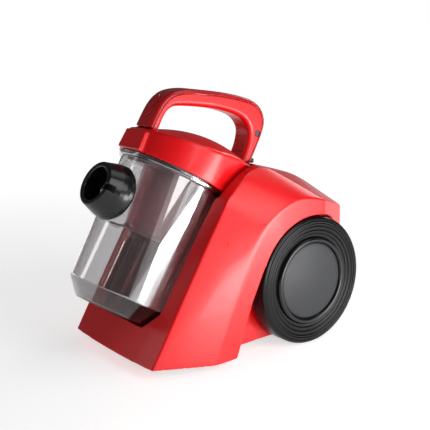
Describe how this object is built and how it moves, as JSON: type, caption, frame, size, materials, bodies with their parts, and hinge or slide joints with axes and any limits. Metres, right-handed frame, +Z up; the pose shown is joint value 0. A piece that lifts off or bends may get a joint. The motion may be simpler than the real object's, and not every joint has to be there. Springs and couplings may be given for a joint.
{
  "type": "cyclone vacuum cleaner",
  "caption": "Compact bagless cyclone vacuum cleaner on wheels, with a tilted clear dust cup, front hose port, lid with a carrying handle and a wedge-shaped body.",
  "frame": {"origin": "on the floor, under the middle of the whole machine", "axes": "+Z up, -Y towards the hose port at the front, X across along the wheel axles"},
  "size_m": [0.1986, 0.334, 0.294],
  "materials": {
    "red_shell": "gloss red injection-moulded ABS",
    "dark_red": "gloss dark red plastic",
    "black_gloss": "gloss black plastic",
    "grey_plastic": "satin dark grey plastic",
    "rubber": "matt black rubber",
    "clear_plastic": "clear polycarbonate",
    "rose_clear": "tinted translucent plastic",
    "steel": "zinc-plated steel",
    "pale_plastic": "off-white plastic",
    "foam": "open-cell foam",
    "copper": "enamelled copper winding and laminations"
  },
  "bodies": {
    "base": {"body_shell": "red_shell", "floor_pan": "grey_plastic", "floor_screw_1": "steel", "floor_screw_2": "steel", "floor_screw_3": "steel", "floor_screw_4": "steel", "wheel_axle_left": "steel", "wheel_axle_right": "steel", "axle_washer_left": "steel", "axle_washer_right": "steel", "motor_housing": "pale_plastic", "motor_mount_front": "rubber", "motor_mount_rear": "rubber", "fan_cover": "steel", "motor_can": "steel", "motor_stator": "copper", "air_duct": "grey_plastic", "reel_post": "grey_plastic", "reel_spring_case": "steel", "control_bracket": "grey_plastic", "power_switch": "black_gloss", "power_spring": "steel", "rewind_spring": "steel", "brake_pin": "steel", "cord_outlet": "black_gloss"},
    "caster_swivel": {"caster_fork": "black_gloss", "caster_pin": "steel", "caster_clip": "steel"},
    "caster_roller": {"caster_wheel": "rubber"},
    "left_wheel": {"wheel_tyre_left": "rubber", "wheel_rim_left": "grey_plastic", "wheel_trim_left": "black_gloss", "wheel_cap_left": "grey_plastic"},
    "right_wheel": {"wheel_tyre_right": "rubber", "wheel_rim_right": "grey_plastic", "wheel_trim_right": "black_gloss", "wheel_cap_right": "grey_plastic"},
    "cup": {"dust_cup": "clear_plastic", "cup_rim": "black_gloss", "hose_port": "black_gloss", "cyclone_cone": "rose_clear", "centre_post": "dark_red", "filter_frame": "grey_plastic", "filter_foam": "foam"},
    "flap": {"inlet_flap": "rubber"},
    "lid_and_handle": {"lid": "red_shell", "handle_cap": "dark_red", "lid_gasket": "rubber", "handle_screw": "steel", "release_spring": "steel"},
    "release": {"release_button": "dark_red"},
    "latch": {"latch_hook": "black_gloss"},
    "rotor": {"motor_rotor": "steel"},
    "reel": {"reel_drum": "pale_plastic"},
    "power": {"power_button": "black_gloss"},
    "rewind": {"rewind_button": "grey_plastic"},
    "brake": {"brake_lever": "black_gloss"},
    "exhaust": {"exhaust_grille": "black_gloss", "exhaust_filter": "pale_plastic"}
  },
  "joints": [
    {"name": "left_wheel_spin", "type": "hinge", "parent": "base", "child": "left_wheel", "pos_m": [0.087, 0.0832, 0.075], "axis": [1, 0, 0], "continuous": true},
    {"name": "right_wheel_spin", "type": "hinge", "parent": "base", "child": "right_wheel", "pos_m": [-0.087, 0.0832, 0.075], "axis": [1, 0, 0], "continuous": true},
    {"name": "caster_turn", "type": "hinge", "parent": "base", "child": "caster_swivel", "pos_m": [0, -0.0658, 0.027], "axis": [0, 0, 1], "continuous": true},
    {"name": "caster_roll", "type": "hinge", "parent": "caster_swivel", "child": "caster_roller", "pos_m": [0, -0.0608, 0.011], "axis": [1, 0, 0], "continuous": true},
    {"name": "cup_lift", "type": "slide", "parent": "base", "child": "cup", "axis": [0, -0.8595, 0.5111], "range_m": [0, 0.12]},
    {"name": "lid_lift", "type": "slide", "parent": "cup", "child": "lid_and_handle", "axis": [0, 0.5111, 0.8595], "range_m": [0, 0.06]},
    {"name": "inlet_flap_swing", "type": "hinge", "parent": "cup", "child": "flap", "pos_m": [0, -0.11483, 0.20254], "axis": [1, 0, 0], "range_deg": [0, 43]},
    {"name": "release_press", "type": "slide", "parent": "lid_and_handle", "child": "release", "axis": [0, 0.769, -0.6392], "range_m": [0, 0.003], "stiffness_N_per_m": 300},
    {"name": "latch_slide", "type": "slide", "parent": "lid_and_handle", "child": "latch", "axis": [0, 1, 0], "range_m": [0, 0.003]},
    {"name": "motor_spin", "type": "hinge", "parent": "base", "child": "rotor", "pos_m": [-0.017, 0.0582, 0.072], "axis": [0, 1, 0], "continuous": true},
    {"name": "reel_spin", "type": "hinge", "parent": "base", "child": "reel", "pos_m": [0.051, 0.0862, 0.072], "axis": [1, 0, 0], "continuous": true},
    {"name": "power_press", "type": "slide", "parent": "base", "child": "power", "axis": [0, -1, 0], "range_m": [0, 0.002], "stiffness_N_per_m": 400},
    {"name": "rewind_press", "type": "slide", "parent": "base", "child": "rewind", "axis": [0, -1, 0], "range_m": [0, 0.002], "stiffness_N_per_m": 400},
    {"name": "brake_swing", "type": "hinge", "parent": "base", "child": "brake", "pos_m": [0.046, 0.1282, 0.129], "axis": [1, 0, 0], "range_deg": [0, 12]},
    {"name": "exhaust_pull", "type": "slide", "parent": "base", "child": "exhaust", "axis": [0, 1, 0], "range_m": [0, 0.06]}
  ],
  "couplings": [
    {"joint": "latch_slide", "follows": "release_press", "ratio": 1},
    {"joint": "brake_swing", "follows": "rewind_press", "rad_per_m": 100}
  ]
}
